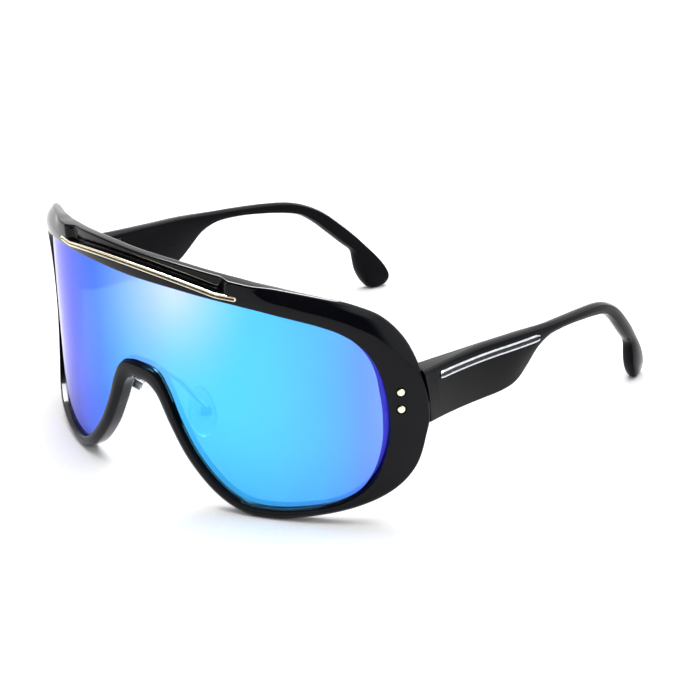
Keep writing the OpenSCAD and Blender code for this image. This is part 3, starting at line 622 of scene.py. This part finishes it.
# The finish of every other piece: slot, materials, and where a second one goes
finishes = {
    "lug_rivets": ("gold_metal", [goldPlate]),
    "front_hinge": ("steel", [hingeSteelPaintedDark]),
    "hinge_screw": ("steel", [steel]),
    "pad_arm": ("steel", [padWire]),
    "pad_screw": ("steel", [steel]),
    "temple": ("black_acetate", [templeAcetate]),
    "temple_inlay": ("chrome_inlay", [chrome, acetate], inlayChannel),
    "temple_hinge": ("steel", [hingeSteelPaintedDark]),
    "leaf_screws": ("steel", [hingeSteelPaintedDark]),
    "nose_pad": ("clear_silicone", [silicone]),
    "pad_core": ("clear_core", [corePlate]),
}
for family, finish in finishes.items():
    for node in (family + "_left", family + "_right"):
        piece = dress(node, *finish)
        piece.visible_shadow = "clear" not in finish[0]  # the light goes through the pads


# Studio, in metres: a pale floor under a wide soft box that gives the narrow shadows; for the
# gloss, a bright ceiling and far wall, a dark near side that gives the black its depth, and a
# panel over the brow
studio = {
    "floor": 0.7, "aim": (0, -0.05, 0.03),
    # brightness of the near side, far wall and ceiling, where one runs into the next, and fill
    "near": 0.03, "wall": 1.5, "ceiling": 2.6, "nearEnds": (-0.25, 0.1), "wallEnds": (0.5, 0.8),
    "fill": 0.6,
    "lamps": {  # place, size, strength, lights surfaces, shows in gloss
        "overheadBox": ((0, 0, 1.0), (1.1, 1.1), 12.5, True, False),
        "browPanel": ((-0.3, 0.27, 0.92), (0.7, 0.5), 60.0, False, True),
    },
    # a lamp close before the lens, soft at its rim: its red over the mirror's blue lays the
    # pale bloom that the photograph shows
    "bloom": {"place": (-0.008, -0.1144, 0.0392), "aim": (0.0124, -0.0744, 0.0612),
              "width": 0.135, "height": 0.075, "rings": 18, "tone": "#ff3027",
              "glow": 74, "peak": 3.2, "rim": 1.03, "fade": 2.2},
}


def addLamp(name, place, aim, size, power, shape="RECTANGLE"):
    data = bpy.data.lights.new(name, "AREA")
    data.shape, data.energy = shape, power
    data.size, data.size_y = size
    lamp = bpy.data.objects.new(name, data)
    lamp.location = place
    lamp.rotation_euler = (Vector(aim) - Vector(place)).to_track_quat("-Z", "Y").to_euler()
    lamp.visible_camera = False
    scene.collection.objects.link(lamp)
    return lamp


# The bloom's lamp is a nest of ellipses, each fainter than the one inside it
def addBloom(bloom, lens):
    only = bpy.data.collections.new("bloomed")
    only.objects.link(lens)
    for ring in range(bloom["rings"]):
        part = (ring + 1) / bloom["rings"]
        size = bloom["width"] * part, bloom["height"] * part
        fade = bloom["peak"] * (bloom["rim"] - part) ** bloom["fade"]
        power = bloom["glow"] / bloom["rings"] * fade * size[0] * size[1] * pi * pi / 4
        lamp = addLamp("bloom%d" % ring, bloom["place"], bloom["aim"], size, power, "ELLIPSE")
        lamp.data.color = colour(bloom["tone"])[:3]
        lamp.visible_diffuse = lamp.visible_transmission = False
        lamp.light_linking.receiver_collection = only


# Uncoated studio paper: near white and dull, its fibre drawn 1.1 mm apart so that it shows
def addFloor(studio):
    bm = bmesh.new()
    bmesh.ops.create_grid(bm, x_segments=1, y_segments=1, size=studio["floor"])
    mesh = bpy.data.meshes.new("studioFloor")
    bm.to_mesh(mesh)
    bm.free()
    floor = bpy.data.objects.new("studioFloor", mesh)
    scene.collection.objects.link(floor)
    paper, shader = newMaterial("paperFloor", Roughness=0.9)
    place = addNode(paper, "ShaderNodeTexCoord").outputs["Object"]
    fibre = addNode(paper, "ShaderNodeTexNoise", {"Vector": place, "Scale": 900, "Detail": 3})
    tintBy(paper, shader, fibre.outputs["Fac"], [(0.3, "#f6f6f6"), (0.7, "#fafafa")])
    mesh.materials.append(paper)


# The room: white to look at, even for the fill, and graded from near to far for the gloss
def addRoom(studio):
    world = bpy.data.worlds.new("studioRoom")
    world.use_nodes = True
    place = addNode(world, "ShaderNodeTexCoord").outputs["Generated"]
    axes = addNode(world, "ShaderNodeSeparateXYZ", {"Vector": place})
    (low, high), (front, back) = studio["wallEnds"], studio["nearEnds"]
    far = addNode(world, "ShaderNodeMapRange", {
        "Value": axes.outputs["Z"], "From Min": low, "From Max": high,
        "To Min": studio["wall"], "To Max": studio["ceiling"]}, interpolation_type="SMOOTHSTEP")
    room = addNode(world, "ShaderNodeMapRange", {
        "Value": axes.outputs["Y"], "From Min": front, "From Max": back,
        "To Min": studio["near"], "To Max": far.outputs["Result"]},
        interpolation_type="SMOOTHSTEP")
    path = addNode(world, "ShaderNodeLightPath").outputs
    filled = addNode(world, "ShaderNodeMix", {
        "Factor": path["Is Diffuse Ray"], "A": room.outputs["Result"], "B": studio["fill"]})
    light = addNode(world, "ShaderNodeMix", {
        "Factor": path["Is Camera Ray"], "A": filled.outputs["Result"], "B": 1.0})
    background = world.node_tree.nodes["Background"]
    background.inputs["Color"].default_value = (1, 1, 1, 1)
    link(world, light.outputs["Result"], background.inputs["Strength"])
    scene.world = world


addFloor(studio)
addRoom(studio)
for name, (place, size, power, lights, shows) in studio["lamps"].items():
    lamp = addLamp(name, place, studio["aim"], size, power)
    lamp.visible_diffuse = lights
    lamp.visible_glossy = shows
addBloom(studio["bloom"], lens)
print("studio lit")
